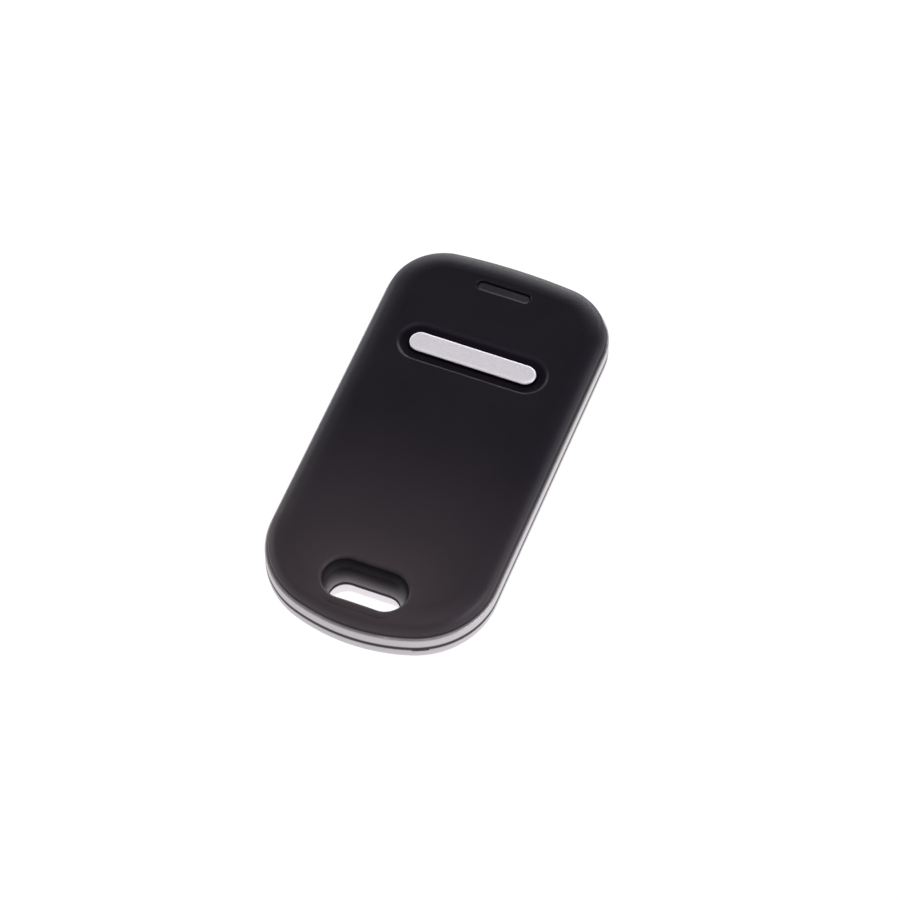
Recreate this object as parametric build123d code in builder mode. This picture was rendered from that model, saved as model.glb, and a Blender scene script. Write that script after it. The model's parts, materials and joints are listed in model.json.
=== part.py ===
from build123d import *
import os
from math import asin, cos, degrees, radians, sin, sqrt

# A car immobiliser remote fob, lying on its back.
# +Z points up out of the button, +Y to the light end, and the keyring slot is at the -Y end.
# The origin is the centre of the underside. Sizes are in millimetres.

# Case outline seen from above, at the foot of the black cover
cover_length = 65.0
cover_width = 33.1
light_end_radius = 87.0
light_corner_radius = 8.5
ring_end_radius = 26.5
ring_corner_radius = 11.8
band_step = 0.45

# Heights of the layers of the case
rear_height = 3.75
seal_height = 0.5
band_height = 1.85
cover_height = 2.9

# Outer edges
edge_slope_run = 2.6
edge_slope_drop = 1.0
edge_crown_radius = 6.0
edge_shoulder_radius = 2.0
rear_edge_radius = 3.15
band_shoulder_radius = 0.4

# Walls of the case
cover_wall = 1.3
face_thickness = 1.2
ceiling_fillet = 0.8
band_wall = 1.3
floor_thickness = 1.0
floor_fillet = 1.2
flange_thickness = 0.8
flange_reach = 2.6
seal_width = 0.9

# Lap joint and snap barbs between the rear shell and the frame
lip_gap = 0.1
lip_thickness = 0.6
lip_height = 0.8
barb_length = 6.0
barb_reach = 0.3
barb_height = 0.3
barb_play = 0.1
barb_spacing = 24.0
barb_y = 3.0

# Notch in the rear rim, for prising the case open
notch_angle = -65.0
notch_width = 2.4
notch_height = 0.35
notch_depth = 0.7

# Keyring slot: narrowest at the parting line, where it lies a little nearer to the ring end
slot_inset = 5.93
slot_waist_length = 10.45
slot_waist_width = 4.8
slot_waist_shift = 0.52
slot_face_length = 12.9
slot_face_width = 6.7
slot_back_length = 11.6
slot_back_width = 5.9
slot_rim_radius = 0.5
slot_back_radius = 0.8
slot_wall = 1.0
collar_wall = 0.6
collar_rise = 0.75

# Button, its recess and its guide
button_inset = 18.06
button_length = 19.3
button_width = 3.25
button_rise = 0.1
button_edge_radius = 0.4
button_gap = 0.16
flange_overlap = 1.3
cap_flange_thickness = 0.5
guide_play = 0.05
guide_depth = 0.3
guide_wall = 2.9
recess_length = 23.0
recess_width = 6.8
recess_step = 0.35
recess_step_run = 0.45
recess_depth = 0.8
recess_rim_radius = 0.3

# Light window
window_inset = 5.53
window_length = 8.3
window_width = 1.75
window_edge = 0.12
window_setback = 0.3
window_gap = 0.04
lens_edge_radius = 0.4
window_flange = 0.8
window_flange_thickness = 0.6

# Circuit board and its screws
board_thickness = 0.8
board_gap = 0.3
board_to_slot = 1.32
board_corner_radius = 1.5
cell_to_board = 0.4
screw_side_inset = 4.75
screw_light_inset = 10.0
screw_ring_inset = 14.0
screw_radius = 0.8
screw_play = 0.02
screw_hole_play = 0.1
screw_head_radius = 1.45
screw_head_height = 0.75
screw_head_edge = 0.25
screw_bite = 0.2
driver_cross_length = 1.5
driver_cross_width = 0.3
driver_cross_depth = 0.35
boss_radius = 1.6
lug_radius = 1.8
lug_thickness = 0.8
lug_gap = 0.25
post_radius = 1.2
post_x = 6.0
post_inset = 8.5
post_play = 0.1

# Coin cell, its ring and its contacts
cell_from_board_end = 13.1
cell_radius = 10.0
cell_height = 3.2
cell_lift = 0.35
cell_edge = 0.3
cell_step = 0.35
cell_cap_radius = 8.7
ring_play = 0.3
ring_wall = 0.8
ring_height = 2.2
clip_thickness = 0.2
clip_width = 5.0
clip_play = 0.03
clip_leg_gap = 0.35
clip_foot = 1.9
clip_slot_length = 8.0
clip_slot_width = 1.6
ring_opening_play = 1.0
contact_radius = 4.0
contact_thickness = 0.15
contact_dome_radius = 1.5
contact_play = 0.05

# Tactile switch
switch_length = 4.2
switch_width = 3.4
switch_plate_height = 0.15
switch_well_radius = 1.45
switch_well_floor = 0.12
plunger_radius = 0.95
plunger_foot_radius = 1.3
plunger_foot_height = 0.15
plunger_play = 0.1
plunger_rise = 0.2
plunger_travel = 0.24
plunger_end_play = 0.03
dome_radius = 1.4
dome_height = 0.24
dome_thickness = 0.07
dome_play = 0.01

# Silicone pad over the switch
pad_length = 20.6
pad_width = 6.4
pad_wall = 0.9
pad_membrane = 0.2
pad_play = 0.03
pad_edge = 0.4

# Light source
led_length = 3.2
led_width = 1.6
led_base_height = 0.4
led_dome_length = 2.2
led_dome_height = 0.45
led_dome_edge = 0.2

# Chips
chip_lift = 0.1
chip_height = 1.0
chip_edge = 0.15
lead_thickness = 0.12
lead_width = 0.26
lead_pitch = 0.65
lead_reach = 1.0
lead_foot = 0.5
chip_row_drop = 10.24
controller_length = 5.0
controller_width = 4.4
controller_rows = 7
radio_inset = 5.05
radio_length = 3.0
radio_width = 3.0
radio_rows = 4
crystal_inset = 5.05
crystal_length = 5.0
crystal_width = 3.2
crystal_height = 1.1
crystal_edge = 0.25
saw_inset = 4.85
saw_drop = 7.2
saw_size = 3.8
saw_height = 1.2
saw_lid_height = 0.3
saw_lid_setback = 0.3

# Loop aerial round the light
loop_side_inset = 5.05
loop_above_light = 2.05
loop_below_light = 7.45
loop_radius = 2.4
loop_wire = 0.6
loop_height = 0.5

# Transponder coil
coil_from_board_end = 7.3
coil_length = 11.8
coil_width = 3.6
coil_height = 1.9
coil_flange = 1.6
coil_waist_width = 2.2
coil_waist_height = 1.0
coil_winding = 0.42
coil_play = 0.02
coil_round = 0.4

# Small chip parts, each placed by its distance in from the board's side and its rise above the chip row
small_length = 1.6
small_width = 0.8
small_height = 0.55
small_edge = 0.08
capacitors_left = [(4.05, 4.2), (8.85, 4.4), (4.25, -6.6), (9.05, -6.6), (4.05, -13.6)]
capacitors_right = [(5.05, 4.0), (9.05, 4.4)]
resistors_left = [(4.85, -4.0), (8.85, -4.0)]
resistors_right = [(4.85, -3.8), (9.25, -4.0), (9.25, -6.6), (4.85, -13.6)]

# Levels worked out from the heights above
rim_z = rear_height
band_z = rim_z + seal_height
cover_z = band_z + band_height
face_z = cover_z + cover_height
waist_z = rim_z + seal_height / 2
ceiling_z = face_z - face_thickness
collar_z = cover_z + collar_rise
flange_z = cover_z - flange_thickness
cell_z = floor_thickness + cell_lift
cell_top_z = cell_z + cell_height
board_z = cell_top_z + cell_to_board
board_top_z = board_z + board_thickness
lug_top_z = board_top_z + lug_thickness
recess_z = face_z - recess_depth
guide_z = ceiling_z - guide_depth
button_top_z = face_z + button_rise
cap_flange_top_z = guide_z - guide_play
cap_foot_z = cap_flange_top_z - cap_flange_thickness
window_top_z = face_z - window_setback

# Places along the case, each measured from the end that it belongs to
light_end_y = cover_length / 2
slot_y = slot_inset - cover_length / 2
button_y = light_end_y - button_inset
window_y = light_end_y - window_inset
post_y = light_end_y - post_inset
screw_light_y = light_end_y - screw_light_inset
screw_ring_y = screw_ring_inset - cover_length / 2
board_end_y = slot_y + slot_face_width / 2 + collar_wall + board_to_slot
cell_y = board_end_y + cell_from_board_end
coil_y = board_end_y + coil_from_board_end
chip_row_y = button_y - chip_row_drop
saw_y = chip_row_y - saw_drop
loop_top_y = window_y + loop_above_light
loop_foot_y = window_y - loop_below_light

# Plan insets, measured in from the foot of the cover
shell_inset = -band_step
inner_inset = band_wall - band_step
lip_inset = inner_inset + lip_gap
lip_inner_inset = lip_inset + lip_thickness
board_inset = flange_reach + board_gap

# Places across the case, each measured from the side
board_side_x = cover_width / 2 - board_inset
screw_x = cover_width / 2 - screw_side_inset
radio_x = board_side_x - radio_inset
crystal_x = crystal_inset - board_side_x
saw_x = board_side_x - saw_inset
loop_length = 2 * (board_side_x - loop_side_inset)
screw_points = [(side * screw_x, y) for side in (-1, 1) for y in (screw_light_y, screw_ring_y)]

on_top = (Align.CENTER, Align.CENTER, Align.MIN)
hung = (Align.CENTER, Align.CENTER, Align.MAX)

os.makedirs("parts", exist_ok=True)


def finish(builder, name):
    """Labels a finished piece and writes it to its file."""
    builder.part.label = name
    export_step(builder.part, f"parts/{name}.step")


def level(z):
    """The horizontal drawing plane at height z."""
    return Plane.XY.offset(z)


def corner_centre(end_radius, corner_radius):
    """Where the corner arc centres, and half the angle of the end arc that it meets smoothly."""
    across = cover_width / 2 - corner_radius
    reach = end_radius - corner_radius
    along = cover_length / 2 - end_radius + sqrt(reach**2 - across**2)
    return across, along, degrees(asin(across / reach))


light_x, light_y, light_half_angle = corner_centre(light_end_radius, light_corner_radius)
ring_x, ring_y, ring_half_angle = corner_centre(ring_end_radius, ring_corner_radius)


def case_outline(inset):
    """The plan outline of the case, moved in from the foot of the cover by inset."""
    side_x = cover_width / 2 - inset
    light_centre = (0, cover_length / 2 - light_end_radius)
    ring_centre = (0, ring_end_radius - cover_length / 2)
    with BuildSketch() as outline:
        with BuildLine():
            ring_corner = CenterArc(
                (ring_x, -ring_y), ring_corner_radius - inset, ring_half_angle - 90, 90 - ring_half_angle
            )
            light_corner = CenterArc(
                (light_x, light_y), light_corner_radius - inset, 0, 90 - light_half_angle
            )
            side = Line((side_x, -ring_y), (side_x, light_y))
            mirror([ring_corner, side, light_corner], about=Plane.YZ)
            CenterArc(light_centre, light_end_radius - inset, 90 - light_half_angle, 2 * light_half_angle)
            CenterArc(ring_centre, ring_end_radius - inset, -90 - ring_half_angle, 2 * ring_half_angle)
        make_face()
    return outline.sketch


def board_bay(grow):
    """Trims a sketch to the board's square end with its rounded corners, grown by grow."""
    with Locations((0, board_end_y - grow)):
        RectangleRounded(
            2 * (board_side_x + grow),
            cover_length,
            board_corner_radius + grow,
            align=(Align.CENTER, Align.MIN),
            mode=Mode.INTERSECT,
        )


def slot_waist(grow, mode=Mode.ADD):
    """Draws the narrowest outline of the keyring slot, grown all round by grow."""
    with Locations((0, slot_y - slot_waist_shift)):
        SlotOverall(slot_waist_length + 2 * grow, slot_waist_width + 2 * grow, mode=mode)


def slot_collar(grow):
    """Draws the outline of the slot's mouth in the face, grown all round by grow."""
    with Locations((0, slot_y)):
        SlotOverall(slot_face_length + 2 * grow, slot_face_width + 2 * grow)


def button_slot(grow, mode=Mode.ADD):
    """Draws the outline of the button, grown all round by grow."""
    with Locations((0, button_y)):
        SlotOverall(button_length + 2 * grow, button_width + 2 * grow, mode=mode)


def window_slot(grow, mode=Mode.ADD):
    """Draws the outline of the light window, grown all round by grow."""
    with Locations((0, window_y)):
        SlotOverall(window_length + 2 * grow, window_width + 2 * grow, mode=mode)


def flare_slot(face_level, length, width):
    """Cuts the keyring slot from its waist to a mouth in one face of the case, with walls that flare."""
    with BuildSketch(level(waist_z)) as waist:
        slot_waist(0)
    with BuildSketch(level(face_level)) as mouth:
        with Locations((0, slot_y)):
            SlotOverall(length, width)
    loft([waist.sketch.face(), mouth.sketch.face()], ruled=True, mode=Mode.SUBTRACT)


def new_edges(builder, low, high):
    """The edges that the last cut left with their middles between two levels."""
    return builder.edges(Select.LAST).filter_by(lambda edge: low < edge.center().Z < high)


# Black front cover: pillow-edged shell with the button recess, the light slot and the keyring funnel
with BuildPart() as front_cover:
    with BuildSketch(level(cover_z)):
        add(case_outline(0))
    extrude(amount=cover_height)
    top_face = front_cover.faces().sort_by(Axis.Z)[-1]
    chamfer(top_face.edges(), length=edge_slope_run, length2=edge_slope_drop, reference=top_face)
    fillet(front_cover.faces().sort_by(Axis.Z)[-1].edges(), edge_crown_radius)
    shoulder_z = face_z - edge_slope_drop
    fillet(front_cover.edges().filter_by_position(Axis.Z, shoulder_z, shoulder_z), edge_shoulder_radius)
    with BuildSketch(level(cover_z)):
        add(case_outline(cover_wall))
    extrude(amount=cover_height - face_thickness, mode=Mode.SUBTRACT)
    ceiling = front_cover.faces().filter_by_position(Axis.Z, ceiling_z, ceiling_z)
    fillet(ceiling.edges(), ceiling_fillet)
    with BuildSketch(level(collar_z)):
        slot_collar(slot_wall)
    extrude(amount=face_z - collar_z - face_thickness / 2)
    with BuildSketch(level(guide_z)):
        button_slot(guide_wall)
    extrude(amount=guide_depth)
    with BuildSketch(level(lug_top_z)):
        with Locations(*screw_points):
            Circle(boss_radius)
    extrude(amount=ceiling_z - lug_top_z)
    flare_slot(face_z, slot_face_length, slot_face_width)
    fillet(new_edges(front_cover, recess_z, button_top_z), slot_rim_radius)
    with BuildSketch(level(recess_z)):
        button_slot(button_gap)
    with BuildSketch(level(face_z - recess_step)):
        with Locations((0, button_y)):
            SlotOverall(recess_length - 2 * recess_step_run, recess_width - 2 * recess_step_run)
    loft(ruled=True, mode=Mode.SUBTRACT)
    with BuildSketch(level(face_z - recess_step)):
        with Locations((0, button_y)):
            SlotOverall(recess_length - 2 * recess_step_run, recess_width - 2 * recess_step_run)
    with BuildSketch(level(face_z)):
        with Locations((0, button_y)):
            SlotOverall(recess_length, recess_width)
    loft(ruled=True, mode=Mode.SUBTRACT)
    fillet(new_edges(front_cover, face_z - recess_step / 2, button_top_z), recess_rim_radius)
    with BuildSketch(level(guide_z)):
        button_slot(button_gap)
    extrude(amount=face_z - guide_z, mode=Mode.SUBTRACT)
    with BuildSketch(level(ceiling_z)):
        window_slot(0)
    extrude(amount=face_thickness, mode=Mode.SUBTRACT)
    chamfer(new_edges(front_cover, window_top_z, button_top_z), window_edge)
    with BuildSketch(level(lug_top_z)):
        with Locations(*screw_points):
            Circle(screw_radius + screw_play)
    extrude(amount=ceiling_z - lug_top_z + screw_bite + screw_hole_play, mode=Mode.SUBTRACT)
finish(front_cover, "front_cover")

# Silver middle frame: the band, the flange that the cover sits on, the lugs and the slot collar
with BuildPart() as middle_frame:
    with BuildSketch(level(band_z)):
        add(case_outline(shell_inset))
    extrude(amount=band_height)
    fillet(middle_frame.faces().sort_by(Axis.Z)[-1].edges(), band_shoulder_radius)
    with BuildSketch(level(band_z)):
        add(case_outline(inner_inset))
    extrude(amount=flange_z - band_z, mode=Mode.SUBTRACT)
    with BuildSketch(level(flange_z)):
        add(case_outline(flange_reach))
        board_bay(board_gap)
    extrude(amount=flange_thickness, mode=Mode.SUBTRACT)
    with BuildSketch(level(band_z)):
        slot_collar(collar_wall)
    extrude(amount=collar_z - band_z)
    with BuildSketch(level(board_top_z)):
        with Locations(*screw_points):
            Circle(lug_radius)
        lug_reach = cover_width / 2 - cover_wall - lug_gap
        for side in (-1, 1):
            lug_x = side * (screw_x + lug_reach) / 2
            with Locations((lug_x, screw_light_y), (lug_x, screw_ring_y)):
                Rectangle(lug_reach - screw_x, 2 * lug_radius)
        with Locations(*screw_points):
            Circle(screw_radius + screw_hole_play, mode=Mode.SUBTRACT)
    extrude(amount=lug_thickness)
    flare_slot(face_z, slot_face_length, slot_face_width)
    barb_room = barb_height + 2 * barb_play
    with Locations((0, barb_y, band_z + lip_height - barb_play - barb_room / 2)):
        with GridLocations(cover_width - 2 * inner_inset, barb_spacing, 2, 2):
            Box(2 * (barb_reach + barb_play), barb_length + 2 * barb_play, barb_room, mode=Mode.SUBTRACT)
finish(middle_frame, "middle_frame")

# Silver rear shell: rounded lower edge, lap lip with barbs, cell ring, board posts and slot collar
with BuildPart() as rear_cover:
    with BuildSketch(level(0)):
        add(case_outline(shell_inset))
    extrude(amount=rear_height)
    fillet(rear_cover.faces().sort_by(Axis.Z)[0].edges(), rear_edge_radius)
    with BuildSketch(level(rim_z)):
        add(case_outline(lip_inset))
    extrude(amount=seal_height + lip_height)
    with BuildSketch(level(floor_thickness)):
        add(case_outline(lip_inner_inset))
    extrude(amount=rim_z - floor_thickness + seal_height + lip_height, mode=Mode.SUBTRACT)
    floor = rear_cover.faces().filter_by_position(Axis.Z, floor_thickness, floor_thickness)
    fillet(floor.edges(), floor_fillet)
    with BuildSketch(level(floor_thickness / 2)):
        slot_collar(collar_wall)
    extrude(amount=rim_z - floor_thickness / 2)
    flare_slot(0, slot_back_length, slot_back_width)
    fillet(new_edges(rear_cover, -slot_back_radius, floor_thickness / 2), slot_back_radius)
    with BuildSketch(level(floor_thickness)):
        with Locations((0, cell_y)):
            Circle(cell_radius + ring_play + ring_wall)
            Circle(cell_radius + ring_play, mode=Mode.SUBTRACT)
            Rectangle(cover_width, clip_width + 2 * ring_opening_play, mode=Mode.SUBTRACT)
    extrude(amount=ring_height)
    with BuildSketch(level(floor_thickness)):
        with Locations((-post_x, post_y), (post_x, post_y)):
            Circle(post_radius)
    extrude(amount=board_z - floor_thickness - post_play)
    with Locations((0, barb_y, rim_z + seal_height + lip_height - 2 * barb_play - barb_height / 2)):
        with GridLocations(cover_width - 2 * lip_inset, barb_spacing, 2, 2):
            Box(2 * barb_reach, barb_length, barb_height)
    notch_radius = ring_corner_radius + band_step
    notch_plane = Plane(
        origin=(
            ring_x + notch_radius * cos(radians(notch_angle)),
            -ring_y + notch_radius * sin(radians(notch_angle)),
            rim_z,
        ),
        x_dir=(cos(radians(notch_angle)), sin(radians(notch_angle)), 0),
        z_dir=(0, 0, 1),
    )
    with BuildSketch(notch_plane):
        Rectangle(2 * notch_depth, notch_width)
    extrude(amount=-notch_height, mode=Mode.SUBTRACT)
finish(rear_cover, "rear_cover")

# Dark seals in the parting line, round the case and round the keyring slot
with BuildPart() as case_seal:
    with BuildSketch(level(rim_z)) as seal_ring:
        add(case_outline(shell_inset))
    with BuildSketch(level(rim_z)) as seal_bore:
        add(case_outline(shell_inset + seal_width))
    extrude(seal_ring.sketch - seal_bore.sketch, amount=seal_height)
finish(case_seal, "case_seal")

with BuildPart() as slot_seal:
    with BuildSketch(level(rim_z)):
        slot_waist(seal_width)
        slot_waist(0, mode=Mode.SUBTRACT)
    extrude(amount=seal_height)
finish(slot_seal, "slot_seal")

# Silver button cap with the flange that keeps it under the cover
with BuildPart() as button_cap:
    with BuildSketch(level(cap_foot_z)):
        button_slot(flange_overlap)
    extrude(amount=cap_flange_thickness)
    with BuildSketch(level(cap_flange_top_z)):
        button_slot(0)
    extrude(amount=button_top_z - cap_flange_top_z)
    fillet(button_cap.faces().sort_by(Axis.Z)[-1].edges(), button_edge_radius)
finish(button_cap, "button_cap")

# Smoked light window, fitted from inside
with BuildPart() as indicator_lens:
    with BuildSketch(level(ceiling_z - window_flange_thickness)):
        window_slot(window_flange)
    extrude(amount=window_flange_thickness)
    with BuildSketch(level(ceiling_z)):
        window_slot(-window_gap)
    extrude(amount=window_top_z - ceiling_z)
    fillet(indicator_lens.faces().sort_by(Axis.Z)[-1].edges(), lens_edge_radius)
finish(indicator_lens, "indicator_lens")

# Circuit board, trimmed square before the keyring slot
with BuildPart() as circuit_board:
    with BuildSketch(level(board_z)):
        add(case_outline(board_inset))
        board_bay(0)
        with Locations(*screw_points):
            Circle(screw_radius + screw_hole_play, mode=Mode.SUBTRACT)
    extrude(amount=board_thickness)
finish(circuit_board, "circuit_board")

# Pan-head screws through the board and the frame's lugs into the cover
with BuildPart() as board_screws:
    with BuildSketch(level(board_z)):
        with Locations(*screw_points):
            Circle(screw_head_radius)
    extrude(amount=-screw_head_height)
    chamfer(board_screws.faces().group_by(Axis.Z)[0].edges(), screw_head_edge)
    with BuildSketch(level(board_z)):
        with Locations(*screw_points):
            Circle(screw_radius)
    extrude(amount=ceiling_z + screw_bite - board_z)
    with BuildSketch(level(board_z - screw_head_height)):
        with Locations(*screw_points):
            Rectangle(driver_cross_length, driver_cross_width)
            Rectangle(driver_cross_width, driver_cross_length)
    extrude(amount=driver_cross_depth, mode=Mode.SUBTRACT)
finish(board_screws, "board_screws")

# Tactile switch: moulded base with a well, metal plate, snap dome and plunger
switch_well_depth = plunger_end_play + plunger_travel + plunger_foot_height + dome_play
switch_base_height = switch_well_floor + switch_well_depth
switch_plate_z = board_top_z + switch_base_height
plunger_top_z = switch_plate_z + switch_plate_height + plunger_rise
plunger_foot_z = switch_plate_z - dome_play - plunger_foot_height
with BuildPart() as switch_base:
    with Locations((0, button_y, board_top_z)):
        Box(switch_length, switch_width, switch_base_height, align=on_top)
    with Locations((0, button_y, switch_plate_z)):
        Cylinder(switch_well_radius, switch_well_depth, align=hung, mode=Mode.SUBTRACT)
finish(switch_base, "switch_base")

with BuildPart() as switch_cover:
    with Locations((0, button_y, switch_plate_z)):
        Box(switch_length, switch_width, switch_plate_height, align=on_top)
        Cylinder(plunger_radius + plunger_play, switch_plate_height, align=on_top, mode=Mode.SUBTRACT)
finish(switch_cover, "switch_cover")

with BuildPart() as switch_plunger:
    with Locations((0, button_y, plunger_foot_z)):
        Cylinder(plunger_foot_radius, plunger_foot_height, align=on_top)
        Cylinder(plunger_radius, plunger_top_z - plunger_foot_z, align=on_top)
finish(switch_plunger, "switch_plunger")

dome_foot_z = board_top_z + switch_well_floor
with BuildPart() as switch_dome:
    with BuildSketch(Plane(origin=(0, button_y, dome_foot_z), x_dir=(1, 0, 0), z_dir=(0, -1, 0))):
        with BuildLine():
            crown = dome_height - dome_thickness
            under = ThreePointArc((-dome_radius, 0), (0, crown), (dome_radius, 0))
            over = ThreePointArc(
                (-dome_radius, dome_thickness), (0, dome_height), (dome_radius, dome_thickness)
            )
            Line(under @ 0, over @ 0)
            Line(under @ 1, over @ 1)
        make_face()
        split(bisect_by=Plane.YZ)
    revolve(axis=Axis((0, button_y, 0), (0, 0, 1)))
finish(switch_dome, "switch_dome")

# Silicone pad: a low hat over the switch that carries the button
pad_top_z = cap_foot_z - pad_play
with BuildPart() as key_pad:
    with BuildSketch(level(board_top_z)):
        with Locations((0, button_y)):
            SlotOverall(pad_length, pad_width)
    extrude(amount=pad_top_z - board_top_z)
    chamfer(key_pad.faces().sort_by(Axis.Z)[-1].edges(), pad_edge)
    with BuildSketch(level(board_top_z)):
        with Locations((0, button_y)):
            SlotOverall(pad_length - 2 * pad_wall, pad_width - 2 * pad_wall)
    extrude(amount=pad_top_z - board_top_z - pad_membrane, mode=Mode.SUBTRACT)
finish(key_pad, "key_pad")

# Light source under the window
with BuildPart() as status_led:
    with Locations((0, window_y, board_top_z)):
        Box(led_length, led_width, led_base_height, align=on_top)
    with Locations((0, window_y, board_top_z + led_base_height)):
        Box(led_dome_length, led_width, led_dome_height, align=on_top)
    chamfer(status_led.faces().sort_by(Axis.Z)[-1].edges(), led_dome_edge)
finish(status_led, "status_led")


def chip_body(x, y, length, width):
    """Makes a moulded chip body with its upper edges bevelled."""
    with Locations((x, y, board_top_z + chip_lift)):
        body = Box(length, width, chip_height, align=on_top)
    chamfer(body.faces().sort_by(Axis.Z)[-1].edges(), chip_edge)


def chip_leads(x, y, length, rows):
    """Makes two rows of gull-wing leads, one on each end of a chip body."""
    shoulder = chip_lift + chip_height / 2
    knee = lead_reach - lead_foot
    for side in (-1, 1):
        for row in range(rows):
            lead_y = y + (row - (rows - 1) / 2) * lead_pitch
            origin = (x + side * length / 2, lead_y, board_top_z)
            lead_plane = Plane(origin=origin, x_dir=(side, 0, 0), z_dir=(0, -side, 0))
            with BuildSketch(lead_plane) as lead:
                with BuildLine():
                    Polyline(
                        (0, shoulder),
                        (knee, shoulder),
                        (knee, lead_thickness),
                        (lead_reach, lead_thickness),
                        (lead_reach, 0),
                        (knee - lead_thickness, 0),
                        (knee - lead_thickness, shoulder - lead_thickness),
                        (0, shoulder - lead_thickness),
                        close=True,
                    )
                make_face()
            extrude(lead.sketch, amount=lead_width / 2, both=True)


# Code chip and transmitter chip, each with its leads
with BuildPart() as microcontroller:
    chip_body(0, chip_row_y, controller_width, controller_length)
finish(microcontroller, "microcontroller")

with BuildPart() as microcontroller_leads:
    chip_leads(0, chip_row_y, controller_width, controller_rows)
finish(microcontroller_leads, "microcontroller_leads")

with BuildPart() as radio_chip:
    chip_body(radio_x, chip_row_y, radio_width, radio_length)
finish(radio_chip, "radio_chip")

with BuildPart() as radio_chip_leads:
    chip_leads(radio_x, chip_row_y, radio_width, radio_rows)
finish(radio_chip_leads, "radio_chip_leads")

# Crystal in its metal can, and the radio frequency resonator with its lid
with BuildPart() as crystal:
    with Locations((crystal_x, chip_row_y, board_top_z)):
        Box(crystal_length, crystal_width, crystal_height, align=on_top)
    chamfer(crystal.faces().sort_by(Axis.Z)[-1].edges(), crystal_edge)
finish(crystal, "crystal")

with BuildPart() as saw_resonator:
    with Locations((saw_x, saw_y, board_top_z)):
        Box(saw_size, saw_size, saw_height - saw_lid_height, align=on_top)
    lid_size = saw_size - 2 * saw_lid_setback
    with Locations((saw_x, saw_y, board_top_z + saw_height - saw_lid_height)):
        Box(lid_size, lid_size, saw_lid_height, align=on_top)
finish(saw_resonator, "saw_resonator")

# Loop aerial: one formed strip on three sides of the light
with BuildPart() as loop_antenna:
    with BuildSketch(level(board_top_z)):
        with Locations((0, loop_foot_y)):
            loop_reach = 2 * (loop_top_y - loop_foot_y)
            RectangleRounded(loop_length, loop_reach, loop_radius)
            RectangleRounded(
                loop_length - 2 * loop_wire,
                loop_reach - 2 * loop_wire,
                loop_radius - loop_wire,
                mode=Mode.SUBTRACT,
            )
            Rectangle(loop_length, loop_reach, align=(Align.CENTER, Align.MAX), mode=Mode.SUBTRACT)
    extrude(amount=loop_height)
finish(loop_antenna, "loop_antenna")

# Transponder: ferrite core with two end flanges, and the winding on its waist
coil_z = board_top_z + coil_height / 2
waist_length = coil_length - 2 * coil_flange
with BuildPart() as transponder_core:
    with Locations((0, coil_y, coil_z)):
        Box(coil_length, coil_waist_width, coil_waist_height)
        with GridLocations(coil_length - coil_flange, 0, 2, 1):
            Box(coil_flange, coil_width, coil_height)
finish(transponder_core, "transponder_core")

with BuildPart() as transponder_winding:
    with BuildSketch(Plane(origin=(0, coil_y, coil_z), x_dir=(0, 1, 0), z_dir=(1, 0, 0))):
        RectangleRounded(
            coil_waist_width + 2 * coil_winding, coil_waist_height + 2 * coil_winding, coil_round
        )
        Rectangle(
            coil_waist_width + 2 * coil_play, coil_waist_height + 2 * coil_play, mode=Mode.SUBTRACT
        )
    extrude(amount=waist_length / 2 - coil_play, both=True)
finish(transponder_winding, "transponder_winding")


def small_points(left, right):
    """Turns insets from the board's two sides and rises above the chip row into points on the board."""
    places = [(inset - board_side_x, rise) for inset, rise in left]
    places += [(board_side_x - inset, rise) for inset, rise in right]
    return [(x, chip_row_y + rise, board_top_z) for x, rise in places]


# Small chip parts, each kind in one group
with BuildPart() as chip_capacitors:
    with Locations(*small_points(capacitors_left, capacitors_right)):
        Box(small_length, small_width, small_height, align=on_top)
    chamfer(chip_capacitors.faces().group_by(Axis.Z)[-1].edges(), small_edge)
finish(chip_capacitors, "chip_capacitors")

with BuildPart() as chip_resistors:
    with Locations(*small_points(resistors_left, resistors_right)):
        Box(small_width, small_length, small_height, align=on_top)
    chamfer(chip_resistors.faces().group_by(Axis.Z)[-1].edges(), small_edge)
finish(chip_resistors, "chip_resistors")

# Coin cell: plus can below, minus cap above
with BuildPart() as coin_cell:
    with Locations((0, cell_y, cell_z)):
        Cylinder(cell_radius, cell_height - cell_step, align=on_top)
    chamfer(coin_cell.edges().sort_by(Axis.Z)[0], cell_edge)
    with Locations((0, cell_y, cell_top_z)):
        Cylinder(cell_cap_radius, cell_step, align=hung)
finish(coin_cell, "coin_cell")

# Plus strap under the cell, with its feet on the board
strap_top = cell_z - clip_play
leg_x = cell_radius + clip_leg_gap
with BuildPart() as battery_clip:
    with BuildSketch(Plane.XZ.offset(-cell_y)):
        with BuildLine():
            outer = Polyline(
                (0, strap_top - clip_thickness),
                (leg_x + clip_thickness, strap_top - clip_thickness),
                (leg_x + clip_thickness, board_z - clip_thickness),
                (leg_x + clip_foot, board_z - clip_thickness),
                (leg_x + clip_foot, board_z),
                (leg_x, board_z),
                (leg_x, strap_top),
                (0, strap_top),
            )
            mirror(outer, about=Plane.YZ)
        make_face()
    extrude(amount=clip_width / 2, both=True)
    with BuildSketch(level(strap_top - clip_thickness)):
        with Locations((0, cell_y)):
            SlotOverall(clip_slot_length, clip_slot_width)
    extrude(amount=clip_thickness, mode=Mode.SUBTRACT)
finish(battery_clip, "battery_clip")

# Minus contact: a disc on the board with a dome that reaches down to the cell
contact_drop = board_z - contact_thickness - cell_top_z - contact_play
with BuildPart() as battery_contact:
    with Locations((0, cell_y, board_z)):
        Cylinder(contact_radius, contact_thickness, align=hung)
    with Locations((0, cell_y, board_z - contact_thickness)):
        Cylinder(contact_dome_radius, contact_drop, align=hung)
    chamfer(battery_contact.edges().sort_by(Axis.Z)[0], contact_drop / 2)
finish(battery_contact, "battery_contact")
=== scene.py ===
import json
from math import cos, pi, radians, sin

import bpy
from mathutils import Matrix, Vector


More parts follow.
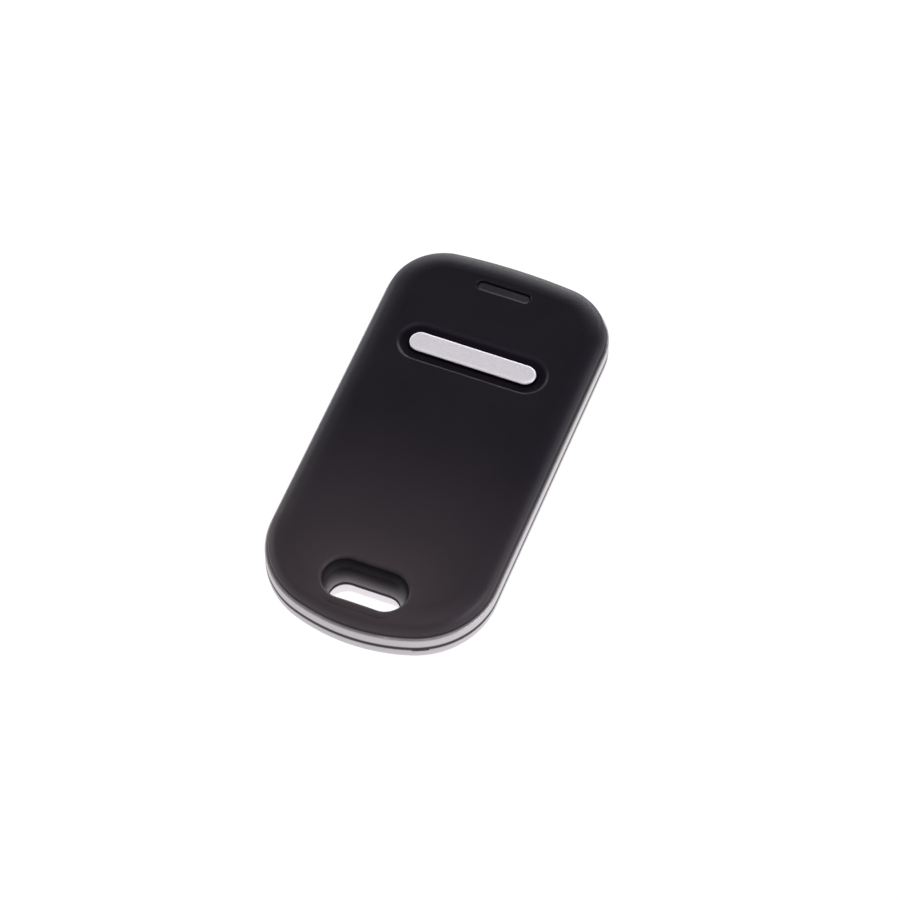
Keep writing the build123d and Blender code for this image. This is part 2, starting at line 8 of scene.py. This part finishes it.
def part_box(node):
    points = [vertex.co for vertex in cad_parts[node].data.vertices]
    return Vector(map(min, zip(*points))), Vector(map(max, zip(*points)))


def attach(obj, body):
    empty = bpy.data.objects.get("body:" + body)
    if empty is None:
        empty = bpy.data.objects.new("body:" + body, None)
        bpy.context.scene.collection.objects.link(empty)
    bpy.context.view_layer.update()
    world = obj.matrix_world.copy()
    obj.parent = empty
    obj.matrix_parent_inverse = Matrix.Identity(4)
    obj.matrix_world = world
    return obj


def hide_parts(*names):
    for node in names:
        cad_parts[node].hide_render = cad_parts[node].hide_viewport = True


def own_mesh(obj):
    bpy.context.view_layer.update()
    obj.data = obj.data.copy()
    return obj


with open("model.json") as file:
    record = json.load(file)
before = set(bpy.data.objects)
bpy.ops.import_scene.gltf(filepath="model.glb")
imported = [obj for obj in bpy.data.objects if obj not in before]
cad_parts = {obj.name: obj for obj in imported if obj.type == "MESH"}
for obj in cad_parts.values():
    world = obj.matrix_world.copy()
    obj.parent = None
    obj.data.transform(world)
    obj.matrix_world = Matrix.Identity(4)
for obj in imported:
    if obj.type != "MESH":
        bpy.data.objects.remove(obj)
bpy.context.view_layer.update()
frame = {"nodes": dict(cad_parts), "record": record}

MM = 0.001

# The camera, solved from the photograph: it looks at the point on the case's axis at the foot of the cover
VIEW_AZIMUTH = radians(21.398)
VIEW_ELEVATION = radians(55.857)
TARGET = Vector((0, 0, 6.1 * MM))
CAMERA_DISTANCE = 607.35 * MM
FRAME_PIXELS = 900
SCALE_PIXELS = 456.97
SCALE_LENGTH = 65 * MM
CENTRE_RIGHT_PIXELS = -14.286
CENTRE_UP_PIXELS = 3.811
SENSOR_WIDTH_MM = 36
CLIP_START = 10 * MM

# The floor glows, as a lit white table does, and takes a faint shadow. It lies just clear of the underside
FLOOR_SIZE = 4.0
FLOOR_GAP = 0.05 * MM
FLOOR_COLOUR = (0.15, 0.15, 0.15)
FLOOR_ROUGH = 0.8
FLOOR_GLOW = 0.94

# In metal and glass the white background fades out upwards, between these sines of the elevation
BACKDROP_FADE = (0.1, 0.3)

# Strip lights round the table: azimuth, counted like the camera's, and elevation in degrees, and radiance
STRIP_DISTANCE = 1.5
STRIP_WIDTH = 1.24
STRIP_HEIGHT = 0.36
STRIPS = {
    "back": (180, 6, 12.0),
    "back_left": (225, 6, 5.0),
    "left": (270, 6, 3.4),
    "front_left": (315, 6, 0.6),
    "front": (0, 6, 1.2),
    "front_right": (45, 6, 0.6),
    "low_right": (90, 6, 9.0),
    "right": (90, 35, 1.7),
    "high_right": (90, 50, 1.2),
}

# Softboxes that hang close over the fob: centre and size across and along, in metres, and radiance
SOFTBOX_Z = 0.15
SOFTBOX_COLOUR = (1.0, 0.92, 0.96)
SOFTBOXES = {
    "over_left": (-0.12, -0.09, 0.06, 0.18, 2.25),
    "over_right": (0.06, -0.09, 0.06, 0.18, 2.63),
    "over_all": (-0.03, -0.06, 0.24, 0.24, 0.95),
    "over_face": (-0.03, 0.03, 0.12, 0.06, 0.85),
}

# The soft-touch black, and a painted sheen that makes it paler round the keyring slot, as far out as the
# reach
BLACK = (0.004, 0.003, 0.0068)
BLACK_SHADES = (0.92, 1.08)
BLACK_CLOUDS = 9 * MM
BLACK_SHEEN = 0.24
BLACK_TINT = (0.95, 0.87, 1.0, 1)
BLACK_ROUGH = 0.48
BLACK_UNEVEN = 0.02
GRAIN = 0.3 * MM
GRAIN_DEPTH = 0.02 * MM
PAINTED_SHEEN = (0.044, 0.037, 0.039)
PAINTED_SHEEN_REACH = 26 * MM
PAINTED_SHEEN_CURVE = 0.5

# It is duller, and without the painted sheen, down in the button's recess and in the keyring slot's funnel;
# lower down the funnel, by the lift, part of the painted sheen and of the gloss comes back.
# Each zone has a margin round its node, and the depths at which it begins and is complete.
HOLLOW_ROUGH = 1.0
RECESS_DROP = (0.1 * MM, 0.45 * MM)
RECESS_MARGIN = 1.9 * MM
FUNNEL_DROP = (0.3 * MM, 0.7 * MM)
FUNNEL_MARGIN = 0.7 * MM
FUNNEL_LIFT = 0.45
EDGE_BLUR = 0.2 * MM

# The silver lacquer of the shells and, finer and paler, of the button
SILVER = (0.5, 0.475, 0.5)
SILVER_METAL = 0.5
SILVER_FLAKE = 0.09 * MM
SILVER_BUTTON = (0.86, 0.86, 0.9)
BUTTON_METAL = 0.15
BUTTON_FLAKE = 0.15 * MM
SILVER_SHADES = (0.93, 1.07)
SILVER_ROUGH = 0.38
SILVER_UNEVEN = 0.03
FLAKE_DEPTH = 0.0008 * MM
RIPPLE = 0.9 * MM
RIPPLE_DEPTH = 0.002 * MM

# Painted shade on the silver, darkened towards the black of the moulding: on the band's ledge, beside the
# seal, up the wall of the keyring slot and down the button's side. Below the seal the slot is painted
# lighter, as painted light.
LEDGE_FADE = 0.35 * MM
LEDGE_PAINTED_SHADE = 0.3
SEAM_PAINTED_SHADE = 0.1
SEAM_FADE = 0.3 * MM
SEAM_STEP = 0.1 * MM
WALL_PAINTED_SHADE = 0.6
WALL_CURVE = 2.0
SLOT_MARGIN = 1.1 * MM
SLOT_PAINTED_LIGHT = 1.8
BUTTON_FADE = (0.42 * MM, 0.3 * MM)

# The smoked light window: the shades of its clouds, their size and its ripple
SMOKE = ((0.05, 0.05, 0.056), (0.062, 0.062, 0.068))
SMOKE_CLOUDS = 2 * MM
SMOKE_ROUGH = 0.24
SMOKE_UNEVEN = 0.04
SMOKE_RIPPLE = 0.3 * MM
SMOKE_RIPPLE_DEPTH = 0.0006 * MM

# Plain mouldings and metals: how uneven they are
MOULDING_UNEVEN = 0.04
METAL_CLOUDS = 1.5 * MM
METAL_SHADES = (0.9, 1.05)
METAL_UNEVEN = 0.06

# The board's glass weave under green solder mask
BOARD_SHADES = ((0.012, 0.13, 0.05), (0.022, 0.2, 0.08))
BOARD_CLOUDS = 4 * MM
BOARD_CLOUD_SHARE = 0.6
BOARD_ROUGH = (0.4, 0.5)
WEAVE_X = 0.5 * MM
WEAVE_Y = 0.45 * MM
WEAVE_DEPTH = 0.003 * MM

# The transponder's enamelled winding
COPPER_SHADES = ((0.3, 0.11, 0.05), (0.62, 0.28, 0.13))
COPPER_SPOTS = 0.5 * MM
COPPER_ROUGH = (0.3, 0.42)
TURN_PITCH = 0.12 * MM
TURN_DEPTH = 0.04 * MM

# Most of a noise texture's values lie in this range
NOISE_LOW = 0.3
NOISE_HIGH = 0.7

# Blender's wave texture has a rib about every third of a unit at scale 1
WAVE_PITCH = 0.314


def facing(azimuth, elevation):
    """The turn of a camera or lamp that stands at this angle and faces the middle, with level sides."""
    right = Vector((cos(azimuth), sin(azimuth), 0))
    up = Vector((-sin(azimuth) * sin(elevation), cos(azimuth) * sin(elevation), cos(elevation)))
    return Matrix((right, up, right.cross(up))).transposed()


def add_camera():
    """Makes the camera and gives it to the scene."""
    turn = facing(VIEW_AZIMUTH, VIEW_ELEVATION)
    right, up, back = turn.col
    metres_per_pixel = SCALE_LENGTH / SCALE_PIXELS
    data = bpy.data.cameras.new("camera")
    data.sensor_width = SENSOR_WIDTH_MM
    data.lens = SENSOR_WIDTH_MM * CAMERA_DISTANCE / (metres_per_pixel * FRAME_PIXELS)
    data.clip_start = CLIP_START
    camera = bpy.data.objects.new("camera", data)
    bpy.context.scene.collection.objects.link(camera)
    place = TARGET + back * CAMERA_DISTANCE
    place -= (right * CENTRE_RIGHT_PIXELS + up * CENTRE_UP_PIXELS) * metres_per_pixel
    camera.matrix_world = Matrix.Translation(place) @ turn.to_4x4()
    bpy.context.scene.camera = camera


def add_softbox(name, place, turn, width, height, radiance, colour=(1, 1, 1)):
    """Makes a softbox at a place, with this turn, that shines as bright as radiance all over."""
    data = bpy.data.lights.new(name, "AREA")
    data.shape = "RECTANGLE"
    data.size = width
    data.size_y = height
    data.energy = pi * width * height * radiance
    data.color = colour
    lamp = bpy.data.objects.new(name, data)
    bpy.context.scene.collection.objects.link(lamp)
    lamp.visible_camera = False
    lamp.matrix_world = Matrix.Translation(place) @ turn.to_4x4()


def add_lights():
    """Strip lights round the table, most of them low down, and softboxes close over the fob."""
    for name, (azimuth, elevation, radiance) in STRIPS.items():
        turn = facing(radians(azimuth), radians(elevation))
        add_softbox(name, turn.col[2] * STRIP_DISTANCE, turn, STRIP_WIDTH, STRIP_HEIGHT, radiance)
    downward = facing(0, radians(90))
    for name, (x, y, width, length, radiance) in SOFTBOXES.items():
        add_softbox(name, Vector((x, y, SOFTBOX_Z)), downward, width, length, radiance, SOFTBOX_COLOUR)


def add_floor():
    """A pale floor that shows white and keeps the object's shadow."""
    bpy.ops.mesh.primitive_plane_add(size=FLOOR_SIZE, location=(0, 0, -FLOOR_GAP))
    floor = bpy.context.object
    floor.name = "floor"
    graph = Graph("floor_white")
    graph.set(
        Base_Color=(*FLOOR_COLOUR, 1),
        Roughness=FLOOR_ROUGH,
        Specular_IOR_Level=0.0,
        Emission_Color=(1, 1, 1, 1),
        Emission_Strength=FLOOR_GLOW,
    )
    floor.data.materials.append(graph.material)


def set_world():
    """A white background for the camera, whose low part shows in metal and glass too."""
    world = bpy.data.worlds.new("studio")
    bpy.context.scene.world = world
    world.use_nodes = True
    tree = world.node_tree
    back = tree.nodes["Background"]
    back.inputs["Color"].default_value = (1, 1, 1, 1)

    def combine(operation, first, second):
        """One sum on two outputs."""
        node = tree.nodes.new("ShaderNodeMath")
        node.operation = operation
        tree.links.new(first, node.inputs[0])
        tree.links.new(second, node.inputs[1])
        return node.outputs["Value"]

    direction = tree.nodes.new("ShaderNodeTexCoord").outputs["Generated"]
    split = tree.nodes.new("ShaderNodeSeparateXYZ")
    tree.links.new(direction, split.inputs["Vector"])
    backdrop = tree.nodes.new("ShaderNodeMapRange")
    tree.links.new(split.outputs["Z"], backdrop.inputs["Value"])
    start, end = BACKDROP_FADE
    backdrop.inputs["From Min"].default_value = start
    backdrop.inputs["From Max"].default_value = end
    backdrop.inputs["To Min"].default_value = 1
    backdrop.inputs["To Max"].default_value = 0
    rays = tree.nodes.new("ShaderNodeLightPath").outputs
    mirrored = combine("MAXIMUM", rays["Is Glossy Ray"], rays["Is Transmission Ray"])
    low_part = combine("MULTIPLY", mirrored, backdrop.outputs["Result"])
    seen = combine("MAXIMUM", rays["Is Camera Ray"], low_part)
    tree.links.new(seen, back.inputs["Strength"])


class Graph:
    """A material with its main shader, and short ways to add nodes to it."""

    def __init__(self, name):
        self.material = bpy.data.materials.new(name)
        self.material.use_nodes = True
        self.tree = self.material.node_tree
        self.shader = self.tree.nodes["Principled BSDF"]
        self.place = self.add("ShaderNodeTexCoord").outputs["Object"]

    def add(self, kind, **settings):
        """Adds a node of this kind with its settings."""
        node = self.tree.nodes.new(kind)
        for key, value in settings.items():
            setattr(node, key, value)
        return node

    def link(self, output, socket):
        """Leads a node's output into a socket."""
        self.tree.links.new(output, socket)

    def set(self, **values):
        """Sets values that are the same all over, on the main shader's own sockets."""
        for key, value in values.items():
            self.shader.inputs[key.replace("_", " ")].default_value = value

    def stretch(self, along):
        """Draws out every pattern that is added after this, by these factors along X, Y and Z."""
        node = self.add("ShaderNodeMapping")
        node.inputs["Scale"].default_value = [1 / factor for factor in along]
        self.link(self.place, node.inputs["Vector"])
        self.place = node.outputs["Vector"]

    def height(self):
        """The point's height in the frame."""
        node = self.add("ShaderNodeSeparateXYZ")
        self.link(self.place, node.inputs["Vector"])
        return node.outputs["Z"]

    def away(self, node_name):
        """How far the point is, in plan, outside the edge of a CAD node with round ends."""
        low, high = (Vector(corner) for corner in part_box(node_name))
        middle = (low + high) / 2
        half_length, half_width, _ = (high - low) / 2
        place = self.place
        for operation, value in (
            ("SUBTRACT", middle),
            ("ABSOLUTE", None),
            ("SUBTRACT", (half_length - half_width, 0, 0)),
            ("MAXIMUM", (0, 0, 0)),
            ("MULTIPLY", (1, 1, 0)),
        ):
            node = self.add("ShaderNodeVectorMath", operation=operation)
            self.link(place, node.inputs[0])
            if value is not None:
                node.inputs[1].default_value = value
            place = node.outputs["Vector"]
        length = self.add("ShaderNodeVectorMath", operation="LENGTH")
        self.link(place, length.inputs[0])
        return self.math("SUBTRACT", length.outputs["Value"], half_width)

    def near(self, node_name, margin):
        """1 within a margin in plan round a CAD node with round ends, and 0 farther off."""
        return self.spread(self.away(node_name), 1, 0, margin, margin + EDGE_BLUR)

    def noise(self, size, detail=2.0):
        """Noise with spots of about this size, in metres."""
        node = self.add("ShaderNodeTexNoise")
        node.inputs["Scale"].default_value = 1 / size
        node.inputs["Detail"].default_value = detail
        self.link(self.place, node.inputs["Vector"])
        return node.outputs["Fac"]

    def flakes(self, size):
        """Small cells, each with its own grey, for metal flakes in a lacquer."""
        node = self.add("ShaderNodeTexVoronoi")
        node.inputs["Scale"].default_value = 1 / size
        self.link(self.place, node.inputs["Vector"])
        grey = self.add("ShaderNodeRGBToBW")
        self.link(node.outputs["Color"], grey.inputs["Color"])
        return grey.outputs["Val"]

    def ribs(self, pitch, axis):
        """Even ribs across an axis, at this pitch in metres."""
        node = self.add("ShaderNodeTexWave", bands_direction=axis)
        node.inputs["Scale"].default_value = WAVE_PITCH / pitch
        self.link(self.place, node.inputs["Vector"])
        return node.outputs["Fac"]

    def spread(self, factor, low, high, start=NOISE_LOW, end=NOISE_HIGH):
        """Maps start to end of a pattern, or the usual range of noise, onto low to high."""
        node = self.add("ShaderNodeMapRange")
        node.inputs["From Min"].default_value = start
        node.inputs["From Max"].default_value = end
        node.inputs["To Min"].default_value = low
        node.inputs["To Max"].default_value = high
        self.link(factor, node.inputs["Value"])
        return node.outputs["Result"]

    def around(self, factor, middle, reach, start=0, end=1):
        """Varies a value with a pattern, by up to reach either way."""
        return self.spread(factor, middle - reach, middle + reach, start, end)

    def math(self, operation, first, second=0):
        """One sum on a pattern and, where it takes two, a second pattern or plain number."""
        node = self.add("ShaderNodeMath", operation=operation)
        self.link(first, node.inputs[0])
        if isinstance(second, (int, float)):
            node.inputs[1].default_value = second
        else:
            self.link(second, node.inputs[1])
        return node.outputs["Value"]

    def blend(self, factor, first, second):
        """Goes from one pattern to another as the factor goes from 0 to 1."""
        node = self.add("ShaderNodeMix", data_type="FLOAT")
        self.link(factor, node.inputs["Factor"])
        self.link(first, node.inputs["A"])
        self.link(second, node.inputs["B"])
        return node.outputs["Result"]

    def joined(self, first, second, share=0.5):
        """Adds two patterns together, with this share of the second."""
        node = self.add("ShaderNodeMix", data_type="FLOAT")
        node.inputs["Factor"].default_value = share
        self.link(first, node.inputs["A"])
        self.link(second, node.inputs["B"])
        return node.outputs["Result"]

    def mix_colours(self, factor, **settings):
        """A node that mixes two colours by a factor, as its two colour sockets and its output."""
        node = self.add("ShaderNodeMix", data_type="RGBA", **settings)
        self.link(factor, node.inputs["Factor"])
        first, second = (socket for socket in node.inputs if socket.type == "RGBA")
        return first, second, next(out for out in node.outputs if out.type == "RGBA")

    def over(self, factor, under, coat):
        """A coat that covers a plain colour as the factor goes to 1, and gets lighter past 1."""
        first, second, mixed = self.mix_colours(factor, clamp_factor=False)
        first.default_value = (*under, 1)
        self.link(coat, second)
        return mixed

    def colours(self, factor, pair):
        """Goes from the first colour of a pair to the second."""
        first, second, mixed = self.mix_colours(factor)
        first.default_value = (*pair[0], 1)
        second.default_value = (*pair[1], 1)
        return mixed

    def bump(self, height, depth, below=None):
        """Raises the surface by up to depth, in metres, on top of another bump if one is given."""
        node = self.add("ShaderNodeBump")
        node.inputs["Distance"].default_value = depth
        self.link(height, node.inputs["Height"])
        if below is not None:
            self.link(below, node.inputs["Normal"])
        return node.outputs["Normal"]

    def feed(self, name, output):
        """Leads a pattern into one of the main shader's sockets."""
        self.link(output, self.shader.inputs[name])


def shades(colour, factors):
    """The colour in two shades, darker and lighter by these factors."""
    return [tuple(min(1.0, part * factor) for part in colour) for factor in factors]


def moulding(
    name, colour, rough, spot=2.0 * MM, grain=0.1 * MM, grain_depth=0.002 * MM, tint=0.1, **values
):
    """A moulded or cast surface: cloudy colour, uneven roughness and a fine grain."""
    graph = Graph(name)
    graph.set(**values)
    clouds = graph.spread(graph.noise(spot, detail=4.0), 0, 1)
    graph.feed("Base Color", graph.colours(clouds, shades(colour, (1 - tint, 1 + tint))))
    graph.feed("Roughness", graph.around(clouds, rough, MOULDING_UNEVEN))
    graph.feed("Normal", graph.bump(graph.noise(grain), grain_depth))
    return graph.material


def hollow_at(graph, node_name, margin, drop):
    """1 down in a hollow of the black cover, within a margin round a CAD node, and 0 elsewhere."""
    start, end = drop
    face_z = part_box("front_cover")[1][2]
    below = graph.spread(graph.height(), 0, 1, face_z - start, face_z - end)
    return graph.math("MULTIPLY", below, graph.near(node_name, margin))


def soft_touch():
    """Black soft-touch coat: a fine grain over faint clouds, with a painted sheen that makes it paler round
    the keyring slot.

    Down in the button's recess and in the slot's funnel it is dull and the painted sheen is left out, less
    so low in the funnel.
    """
    graph = Graph("soft_touch_black")
    graph.set(Specular_IOR_Level=BLACK_SHEEN, Specular_Tint=BLACK_TINT)
    recess = hollow_at(graph, "button_cap", RECESS_MARGIN, RECESS_DROP)
    funnel = hollow_at(graph, "slot_seal", FUNNEL_MARGIN, FUNNEL_DROP)
    funnel_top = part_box("front_cover")[1][2] - FUNNEL_DROP[1]
    lift = graph.spread(graph.height(), 1, FUNNEL_LIFT, funnel_top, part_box("middle_frame")[1][2])
    hollow = graph.math("MAXIMUM", recess, graph.math("MULTIPLY", funnel, lift))
    clouds = graph.spread(graph.noise(BLACK_CLOUDS, detail=4.0), 0, 1)
    grain = graph.noise(GRAIN, detail=3.0)
    black = graph.colours(clouds, shades(BLACK, BLACK_SHADES))
    # Painted sheen: the paler colour round the keyring slot, fading out by the reach
    away = graph.spread(graph.away("slot_seal"), 0, 1, 0, PAINTED_SHEEN_REACH)
    no_painted_sheen = graph.math("MAXIMUM", graph.math("POWER", away, PAINTED_SHEEN_CURVE), hollow)
    graph.feed("Base Color", graph.over(no_painted_sheen, PAINTED_SHEEN, black))
    rough = graph.around(clouds, BLACK_ROUGH, BLACK_UNEVEN)
    graph.feed("Roughness", graph.math("MAXIMUM", rough, graph.spread(hollow, 0, HOLLOW_ROUGH, 0, 1)))
    graph.feed("Normal", graph.bump(grain, GRAIN_DEPTH))
    return graph.material


def silver_lacquer(name, colour, metallic, flake, cover):
    """Silver lacquer: metal flakes of a few greys under a satin skin with a slight ripple.

    cover takes the graph and gives the painted shading on the silver: the dark moulding's colour at 0,
    plain silver at 1, lighter past 1.
    """
    graph = Graph(name)
    graph.set(Metallic=metallic)
    flakes = graph.flakes(flake)
    silver = graph.colours(flakes, shades(colour, SILVER_SHADES))
    # The painted shading darkens the silver towards the black, and lightens it past 1
    graph.feed("Base Color", graph.over(cover(graph), BLACK, silver))
    graph.feed("Roughness", graph.around(flakes, SILVER_ROUGH, SILVER_UNEVEN))
    ripple = graph.bump(graph.noise(RIPPLE), RIPPLE_DEPTH)
    graph.feed("Normal", graph.bump(flakes, FLAKE_DEPTH, ripple))
    return graph.material


def shell_painted_shading(graph):
    """Painted shading on the shells: painted shade on the ledge, beside the seal and up the wall of the
    keyring slot, and painted light below the seal in the slot.
    """
    height = graph.height()
    ledge_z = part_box("front_cover")[0][2]
    collar_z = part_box("middle_frame")[1][2]
    seam_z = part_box("slot_seal")[1][2]
    # Painted shade on the ledge under the cover's edge
    ledge = graph.spread(height, LEDGE_PAINTED_SHADE, 1, ledge_z, ledge_z - LEDGE_FADE)
    # Painted shade up the slot's wall, darkest at the top
    fade = graph.math("POWER", graph.spread(height, 0, 1, collar_z, seam_z), WALL_CURVE)
    wall = graph.spread(fade, 0, WALL_PAINTED_SHADE, 0, 1)
    # Painted light in the slot below the seal
    below = graph.spread(height, 0, SLOT_PAINTED_LIGHT, seam_z, seam_z - SEAM_STEP)
    # Painted shade on the silver beside the seal
    seam_low, seam_high = (corner[2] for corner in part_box("case_seal"))
    from_seam = graph.math("ABSOLUTE", graph.math("SUBTRACT", height, (seam_low + seam_high) / 2))
    seam_half = (seam_high - seam_low) / 2
    seam = graph.spread(from_seam, SEAM_PAINTED_SHADE, 1, seam_half, seam_half + SEAM_FADE)
    outer = graph.math("MULTIPLY", ledge, seam)
    return graph.blend(graph.near("slot_seal", SLOT_MARGIN), outer, graph.math("MAXIMUM", wall, below))


def button_painted_shade(graph):
    """Silver on the button's top and its rounded edge, with the side painted dark as painted shade."""
    top_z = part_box("button_cap")[1][2]
    start, end = BUTTON_FADE
    # Painted shade: below the top's rounded edge the side goes dark
    return graph.spread(graph.height(), 0, 1, top_z - start, top_z - end)


def smoked_plastic():
    """Smoked clear plastic with a polished top, cloudy inside."""
    graph = Graph("smoked_lens")
    graph.set(Transmission_Weight=0.2, Coat_Weight=0.3, Coat_Roughness=0.08)
    clouds = graph.spread(graph.noise(SMOKE_CLOUDS, detail=3.0), 0, 1)
    graph.feed("Base Color", graph.colours(clouds, SMOKE))
    graph.feed("Roughness", graph.around(clouds, SMOKE_ROUGH, SMOKE_UNEVEN))
    graph.feed("Normal", graph.bump(graph.noise(SMOKE_RIPPLE), SMOKE_RIPPLE_DEPTH))
    return graph.material


def metal(name, colour, rough, along=(1, 1, 1), line=0.05 * MM, depth=0.001 * MM):
    """A bare or plated metal, with fine lines drawn out along one direction."""
    graph = Graph(name)
    graph.set(Metallic=1.0)
    clouds = graph.spread(graph.noise(METAL_CLOUDS, detail=3.0), 0, 1)
    graph.stretch(along)
    lines = graph.noise(line)
    graph.feed("Base Color", graph.colours(clouds, shades(colour, METAL_SHADES)))
    graph.feed("Roughness", graph.around(lines, rough, METAL_UNEVEN, NOISE_LOW, NOISE_HIGH))
    graph.feed("Normal", graph.bump(lines, depth))
    return graph.material


def laminate():
    """Green solder mask over a glass weave, which shows through as fine ribs both ways."""
    graph = Graph("board_laminate")
    graph.set(Coat_Weight=0.4, Coat_Roughness=0.25)
    weave = graph.joined(graph.ribs(WEAVE_X, "X"), graph.ribs(WEAVE_Y, "Y"))
    clouds = graph.noise(BOARD_CLOUDS, detail=3.0)
    tone = graph.spread(graph.joined(weave, clouds, BOARD_CLOUD_SHARE), 0, 1)
    graph.feed("Base Color", graph.colours(tone, BOARD_SHADES))
    graph.feed("Roughness", graph.spread(clouds, *BOARD_ROUGH))
    graph.feed("Normal", graph.bump(weave, WEAVE_DEPTH))
    return graph.material


def close_winding():
    """Enamelled copper wire, wound turn by turn along X."""
    graph = Graph("winding_copper")
    graph.set(Metallic=0.8, Coat_Weight=0.5, Coat_Roughness=0.2)
    turns = graph.ribs(TURN_PITCH, "X")
    graph.feed("Base Color", graph.colours(turns, COPPER_SHADES))
    graph.feed("Roughness", graph.spread(graph.noise(COPPER_SPOTS), *COPPER_ROUGH))
    graph.feed("Normal", graph.bump(turns, TURN_DEPTH))
    return graph.material


def soft_copy(node):
    """Stands in for a CAD node that gives way under a joint: a copy of the same form on the case, with the
    CAD node hidden.
    """
    piece = bpy.data.objects.new(node + "_soft", frame["nodes"][node].data.copy())
    bpy.context.scene.collection.objects.link(piece)
    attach(piece, "case")
    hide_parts(node)
    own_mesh(piece)


add_camera()
add_floor()
set_world()
add_lights()

FINISHES = {
    "soft_touch_black": soft_touch(),
    "silver_lacquer": silver_lacquer("silver_lacquer", SILVER, SILVER_METAL, SILVER_FLAKE, shell_painted_shading),
    "silver_button": silver_lacquer(
        "silver_button", SILVER_BUTTON, BUTTON_METAL, BUTTON_FLAKE, button_painted_shade
    ),
    "smoked_lens": smoked_plastic(),
    "dark_seal": moulding("dark_seal", (0.008, 0.006, 0.008), 0.7, grain=0.06 * MM),
    "pad_silicone": moulding("pad_silicone", (0.4, 0.4, 0.41), 0.6, grain=0.15 * MM),
    "board_laminate": laminate(),
    "switch_moulding": moulding("switch_moulding", (0.03, 0.03, 0.03), 0.5),
    "spring_steel": metal("spring_steel", (0.62, 0.61, 0.58), 0.25, along=(1, 30, 1)),
    "screw_steel": metal("screw_steel", (0.55, 0.55, 0.53), 0.3, along=(6, 6, 1)),
    "chip_resin": moulding("chip_resin", (0.025, 0.025, 0.027), 0.55, grain=0.05 * MM),
    "tinned_lead": metal("tinned_lead", (0.7, 0.7, 0.68), 0.35, along=(8, 1, 8)),
    "led_package": moulding("led_package", (0.82, 0.82, 0.76), 0.3, Subsurface_Weight=0.2, Coat_Weight=0.5),
    "crystal_can": metal("crystal_can", (0.66, 0.65, 0.61), 0.28, along=(25, 1, 1)),
    "gold_lid": metal("gold_lid", (0.78, 0.62, 0.3), 0.22, along=(1, 20, 1)),
    "aerial_strip": metal("aerial_strip", (0.74, 0.5, 0.32), 0.3, along=(20, 20, 1)),
    "ferrite": moulding(
        "ferrite", (0.09, 0.085, 0.08), 0.65, grain=0.08 * MM, grain_depth=0.006 * MM, tint=0.2
    ),
    "winding_copper": close_winding(),
    "capacitor_ceramic": moulding("capacitor_ceramic", (0.46, 0.36, 0.25), 0.5, spot=0.4 * MM, tint=0.15),
    "resistor_film": moulding("resistor_film", (0.03, 0.03, 0.035), 0.35, spot=0.4 * MM, Coat_Weight=0.4),
    "cell_can": metal("cell_can", (0.68, 0.67, 0.64), 0.22, along=(1, 40, 1)),
}
node_slots = {part["node"]: part["material_slot"] for part in frame["record"]["subparts"]}
for name, node in frame["nodes"].items():
    node.data.materials.clear()
    node.data.materials.append(FINISHES[node_slots[name]])

# Copies of the pad and the dome stand in for their CAD nodes
soft_copy("key_pad")
soft_copy("switch_dome")

scene = bpy.context.scene
scene.view_settings.view_transform = "Standard"
